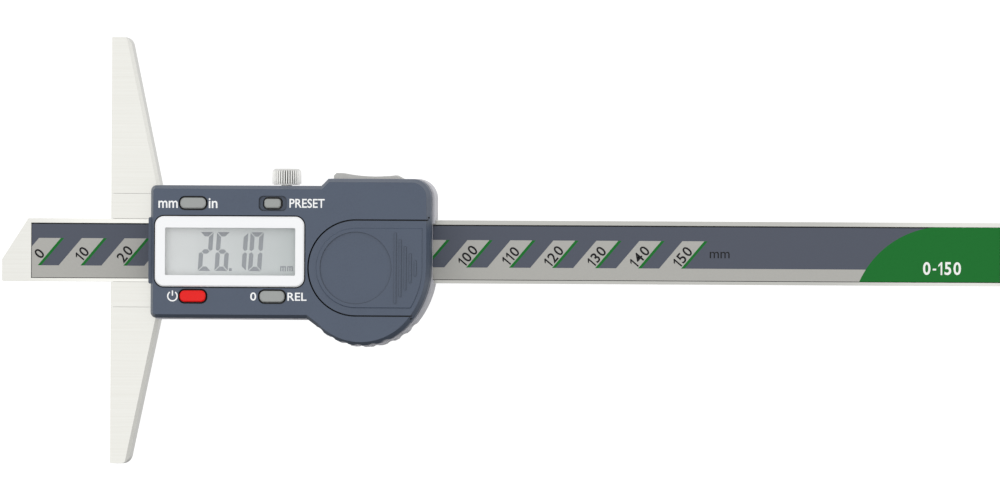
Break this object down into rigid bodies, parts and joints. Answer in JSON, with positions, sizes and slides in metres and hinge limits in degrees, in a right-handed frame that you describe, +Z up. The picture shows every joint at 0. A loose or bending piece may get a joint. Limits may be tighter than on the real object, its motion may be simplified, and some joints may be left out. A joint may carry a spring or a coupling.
{
  "type": "depth caliper",
  "caption": "Digital depth caliper: a sliding flat beam reads its depth below a wide steel base on a display, with keys, lock screw and coin cell lid.",
  "frame": {"origin": "on the resting plane, under the middle of the object at reading 25.5 mm", "axes": "+X along the beam from its measuring tip to its free end, +Y along the depth base to the lock screw's side, +Z up through the display"},
  "size_m": [0.2324, 0.099, 0.015],
  "materials": {
    "ground_steel": "ground, fine brushed lines",
    "screw_steel": "turned, nickel plated",
    "gib_brass": "drawn strip",
    "rear_plate": "brushed sheet",
    "circuit_board": "glass epoxy, solder mask",
    "case_grey": "moulded, fine matt texture",
    "cover_slate": "moulded, fine matt texture",
    "bezel_white": "moulded, satin",
    "clear_pane": "clear acrylic pane",
    "lcd_glass": "liquid crystal display behind its polariser",
    "elastomer": "layered silicone strip",
    "mat_rubber": "moulded silicone",
    "key_grey": "moulded key",
    "key_red": "moulded key",
    "cell_steel": "nickel plated can",
    "contact_metal": "sprung bronze strip",
    "label_print": "printed polyester strip",
    "scale_board": "glass epoxy with copper pattern"
  },
  "bodies": {
    "slider": {"depth_base": "ground_steel", "slider_frame": "ground_steel", "base_screws": "screw_steel", "gib_strip": "gib_brass", "gib_screws": "screw_steel", "rear_cover": "rear_plate", "case_screws": "screw_steel", "sensor_board": "circuit_board", "lower_case": "case_grey", "upper_cover": "cover_slate", "display_bezel": "bezel_white", "display_window": "clear_pane", "lcd_panel": "lcd_glass", "lcd_connector": "elastomer", "upper_key_mat": "mat_rubber", "lower_key_mat": "mat_rubber", "battery_cell": "cell_steel", "battery_contact_minus": "contact_metal", "battery_contact_plus": "contact_metal"},
    "beam": {"beam": "ground_steel", "scale_board": "scale_board", "scale_label": "label_print", "end_stop": "ground_steel", "end_stop_screws": "screw_steel"},
    "lock_screw": {"lock_screw": "screw_steel"},
    "unit_key": {"unit_key": "key_grey"},
    "set_key": {"set_key": "key_grey"},
    "power_key": {"power_key": "key_red"},
    "zero_key": {"zero_key": "key_grey"},
    "battery_lid": {"battery_lid": "cover_slate"}
  },
  "joints": [
    {"name": "beam_slide", "type": "slide", "parent": "slider", "child": "beam", "axis": [-1, 0, 0], "range_m": [-0.0255, 0.1245]},
    {"name": "lock_turn", "type": "hinge", "parent": "slider", "child": "lock_screw", "pos_m": [-0.04994, 0.01535, 0.00455], "axis": [0, -1, 0], "range_deg": [-360, 40]},
    {"name": "battery_lid_slide", "type": "slide", "parent": "slider", "child": "battery_lid", "axis": [1, 0, 0], "range_m": [0, 0.03]},
    {"name": "unit_key_press", "type": "slide", "parent": "slider", "child": "unit_key", "axis": [0, 0, -1], "range_m": [0, 0.0005], "stiffness_N_per_m": 1500},
    {"name": "set_key_press", "type": "slide", "parent": "slider", "child": "set_key", "axis": [0, 0, -1], "range_m": [0, 0.0005], "stiffness_N_per_m": 1500},
    {"name": "power_key_press", "type": "slide", "parent": "slider", "child": "power_key", "axis": [0, 0, -1], "range_m": [0, 0.0005], "stiffness_N_per_m": 1500},
    {"name": "zero_key_press", "type": "slide", "parent": "slider", "child": "zero_key", "axis": [0, 0, -1], "range_m": [0, 0.0005], "stiffness_N_per_m": 1500}
  ]
}
